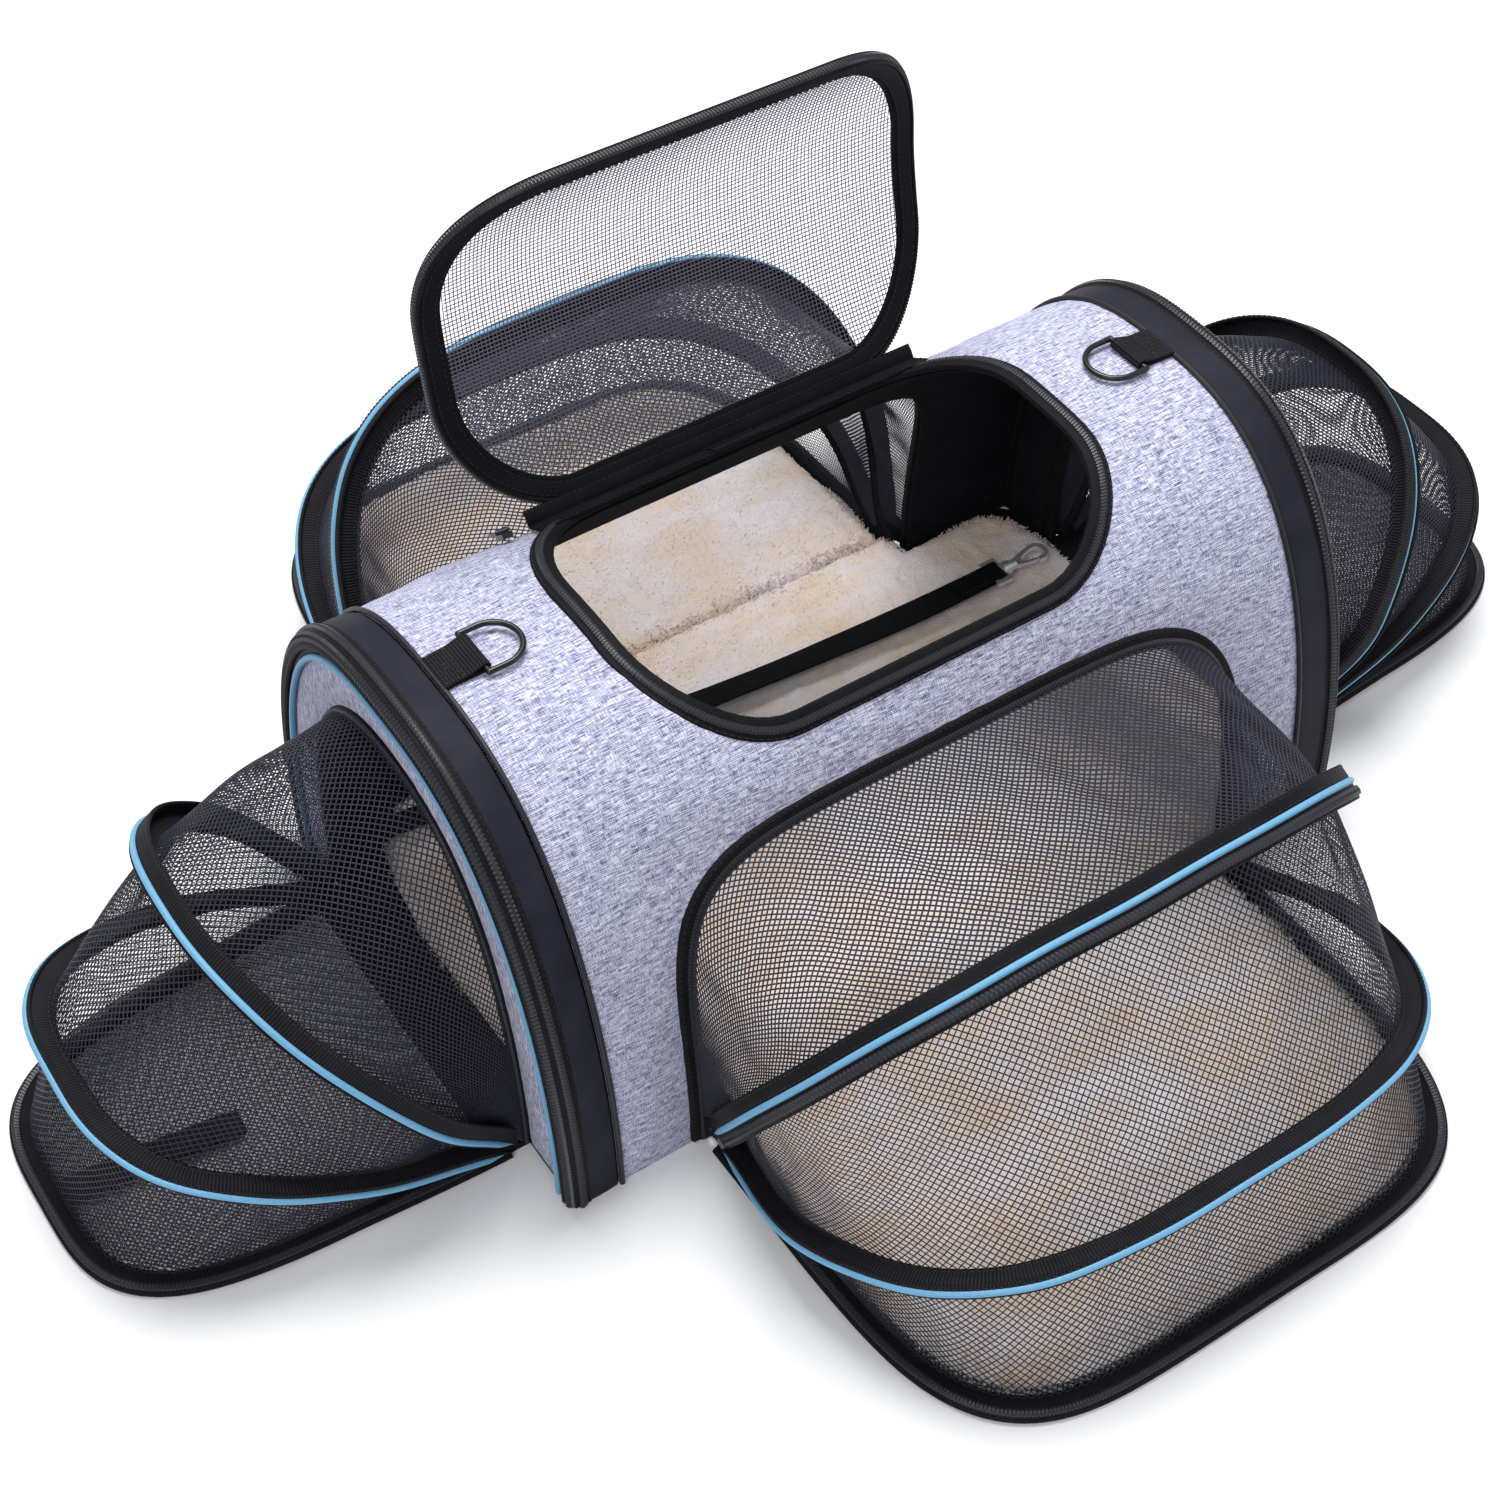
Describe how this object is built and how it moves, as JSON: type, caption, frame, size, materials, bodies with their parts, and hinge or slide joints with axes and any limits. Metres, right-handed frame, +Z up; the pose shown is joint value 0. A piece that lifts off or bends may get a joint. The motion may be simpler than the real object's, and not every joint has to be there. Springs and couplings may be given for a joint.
{
  "type": "pet carrier bag",
  "caption": "Soft-sided arched pet carrier with a zipped mesh top lid and netting rooms that fold out from its sides and ends.",
  "frame": {"origin": "middle of the cabin footprint, on the ground", "axes": "+X along the cabin towards the right end room, +Y towards the lid hinge, +Z up"},
  "size_m": [0.8726, 0.713, 0.3715],
  "materials": {
    "grey_fabric": "heathered woven polyester",
    "black_fabric": "smooth woven polyester",
    "binding_tape": "ribbed binding tape",
    "zipper_tape": "woven tape with nylon coil",
    "black_webbing": "woven webbing",
    "blue_piping": "satin covered cord",
    "netting": "open knitted netting",
    "fine_mesh": "fine square mesh",
    "fleece": "plush pile",
    "black_metal": "gloss black",
    "steel": "polished nickel"
  },
  "bodies": {
    "carrier": {"base_panel": "black_fabric", "shell": "grey_fabric", "lining": "black_fabric", "band_left": "black_fabric", "band_right": "black_fabric", "seam_pipings": "black_fabric", "end_zippers": "zipper_tape", "end_pipings": "blue_piping", "end_panel_left": "grey_fabric", "end_panel_right": "grey_fabric", "end_bindings": "black_fabric", "front_binding": "black_fabric", "back_binding": "black_fabric", "top_binding": "black_fabric", "tab_left": "black_webbing", "tab_right": "black_webbing", "body_fleece": "fleece", "lid_hinge_strip": "black_fabric", "tether_anchor": "black_fabric", "tether_strap": "black_webbing", "hook_eye": "steel", "zipper_slider": "black_metal"},
    "lid": {"lid_frame": "binding_tape", "lid_mesh": "fine_mesh"},
    "zipper_pull": {"zipper_pull": "black_metal"},
    "ring_left": {"d_ring_left": "black_metal"},
    "ring_right": {"d_ring_right": "black_metal"},
    "hook": {"hook": "steel"},
    "hook_gate": {"hook_gate": "steel"},
    "front_upper": {"front_upper_bow": "binding_tape", "front_upper_netting": "netting"},
    "front_lower": {"front_lower_bow": "binding_tape", "front_middle_netting": "netting"},
    "front_floor": {"front_floor_frame": "binding_tape", "front_floor_mesh": "netting", "front_lower_netting": "netting", "front_fleece": "fleece"},
    "back_upper": {"back_upper_bow": "binding_tape", "back_upper_netting": "netting"},
    "back_lower": {"back_lower_bow": "binding_tape", "back_middle_netting": "netting"},
    "back_floor": {"back_floor_frame": "binding_tape", "back_floor_mesh": "netting", "back_lower_netting": "netting", "back_fleece": "fleece"},
    "left_upper": {"left_upper_bow": "binding_tape", "left_upper_netting": "netting"},
    "left_lower": {"left_lower_bow": "binding_tape", "left_middle_netting": "netting"},
    "left_floor": {"left_floor_frame": "binding_tape", "left_floor_mesh": "netting", "left_lower_netting": "netting"},
    "right_upper": {"right_upper_bow": "binding_tape", "right_upper_netting": "netting"},
    "right_lower": {"right_lower_bow": "binding_tape", "right_middle_netting": "netting"},
    "right_floor": {"right_floor_frame": "binding_tape", "right_floor_mesh": "netting", "right_lower_netting": "netting"}
  },
  "joints": [
    {"name": "lid_hinge", "type": "hinge", "parent": "carrier", "child": "lid", "pos_m": [0, 0.079, 0.20189], "axis": [-1, 0, 0], "range_deg": [-100, 25]},
    {"name": "ring_left_flip", "type": "hinge", "parent": "carrier", "child": "ring_left", "pos_m": [-0.184, 0, 0.2254], "axis": [0, -1, 0], "range_deg": [0, 150]},
    {"name": "ring_right_flip", "type": "hinge", "parent": "carrier", "child": "ring_right", "pos_m": [0.184, 0, 0.2254], "axis": [0, 1, 0], "range_deg": [0, 150]},
    {"name": "zipper_pull_flip", "type": "hinge", "parent": "carrier", "child": "zipper_pull", "pos_m": [-0.126, 0.07805, 0.20749], "axis": [1, 0, 0], "range_deg": [0, 120]},
    {"name": "hook_swivel", "type": "hinge", "parent": "carrier", "child": "hook", "pos_m": [0.182, 0.0755, 0.022], "axis": [1, 0, 0], "continuous": true},
    {"name": "gate_pivot", "type": "hinge", "parent": "hook", "child": "hook_gate", "pos_m": [0.1946, 0.0724, 0.022], "axis": [0, 0, 1], "range_deg": [0, 25], "stiffness_Nm_per_rad": 0.01, "springref_deg": -28.65},
    {"name": "front_upper_fold", "type": "hinge", "parent": "carrier", "child": "front_upper", "pos_m": [0, -0.1485, 0.0066], "axis": [-1, 0, 0], "range_deg": [0, 30], "deforming": ["front_upper_netting"]},
    {"name": "front_lower_fold", "type": "hinge", "parent": "front_upper", "child": "front_lower", "pos_m": [0, -0.1485, 0.0066], "axis": [-1, 0, 0], "range_deg": [0, 39], "deforming": ["front_middle_netting"]},
    {"name": "front_floor_fold", "type": "hinge", "parent": "front_lower", "child": "front_floor", "pos_m": [0, -0.1485, 0.0066], "axis": [-1, 0, 0], "range_deg": [0, 21], "deforming": ["front_lower_netting", "front_fleece"]},
    {"name": "back_upper_fold", "type": "hinge", "parent": "carrier", "child": "back_upper", "pos_m": [0, 0.1485, 0.0066], "axis": [1, 0, 0], "range_deg": [0, 30], "deforming": ["back_upper_netting"]},
    {"name": "back_lower_fold", "type": "hinge", "parent": "back_upper", "child": "back_lower", "pos_m": [0, 0.1485, 0.0066], "axis": [1, 0, 0], "range_deg": [0, 39], "deforming": ["back_middle_netting"]},
    {"name": "back_floor_fold", "type": "hinge", "parent": "back_lower", "child": "back_floor", "pos_m": [0, 0.1485, 0.0066], "axis": [1, 0, 0], "range_deg": [0, 21], "deforming": ["back_lower_netting", "back_fleece"]},
    {"name": "left_upper_fold", "type": "hinge", "parent": "carrier", "child": "left_upper", "pos_m": [-0.2403, 0, 0.0066], "axis": [0, 1, 0], "range_deg": [0, 36], "deforming": ["left_upper_netting"]},
    {"name": "left_lower_fold", "type": "hinge", "parent": "left_upper", "child": "left_lower", "pos_m": [-0.2403, 0, 0.0066], "axis": [0, 1, 0], "range_deg": [0, 30], "deforming": ["left_middle_netting"]},
    {"name": "left_floor_fold", "type": "hinge", "parent": "left_lower", "child": "left_floor", "pos_m": [-0.2403, 0, 0.0066], "axis": [0, 1, 0], "range_deg": [0, 24], "deforming": ["left_lower_netting"]},
    {"name": "right_upper_fold", "type": "hinge", "parent": "carrier", "child": "right_upper", "pos_m": [0.2403, 0, 0.0066], "axis": [0, -1, 0], "range_deg": [0, 36], "deforming": ["right_upper_netting"]},
    {"name": "right_lower_fold", "type": "hinge", "parent": "right_upper", "child": "right_lower", "pos_m": [0.2403, 0, 0.0066], "axis": [0, -1, 0], "range_deg": [0, 30], "deforming": ["right_middle_netting"]},
    {"name": "right_floor_fold", "type": "hinge", "parent": "right_lower", "child": "right_floor", "pos_m": [0.2403, 0, 0.0066], "axis": [0, -1, 0], "range_deg": [0, 24], "deforming": ["right_lower_netting"]}
  ],
  "couplings": [
    {"joint": "front_lower_fold", "follows": "front_upper_fold", "ratio": 1.3},
    {"joint": "front_floor_fold", "follows": "front_upper_fold", "ratio": 0.7},
    {"joint": "back_lower_fold", "follows": "back_upper_fold", "ratio": 1.3},
    {"joint": "back_floor_fold", "follows": "back_upper_fold", "ratio": 0.7},
    {"joint": "left_lower_fold", "follows": "left_upper_fold", "ratio": 0.83333},
    {"joint": "left_floor_fold", "follows": "left_upper_fold", "ratio": 0.66666},
    {"joint": "right_lower_fold", "follows": "right_upper_fold", "ratio": 0.83333},
    {"joint": "right_floor_fold", "follows": "right_upper_fold", "ratio": 0.66666}
  ]
}
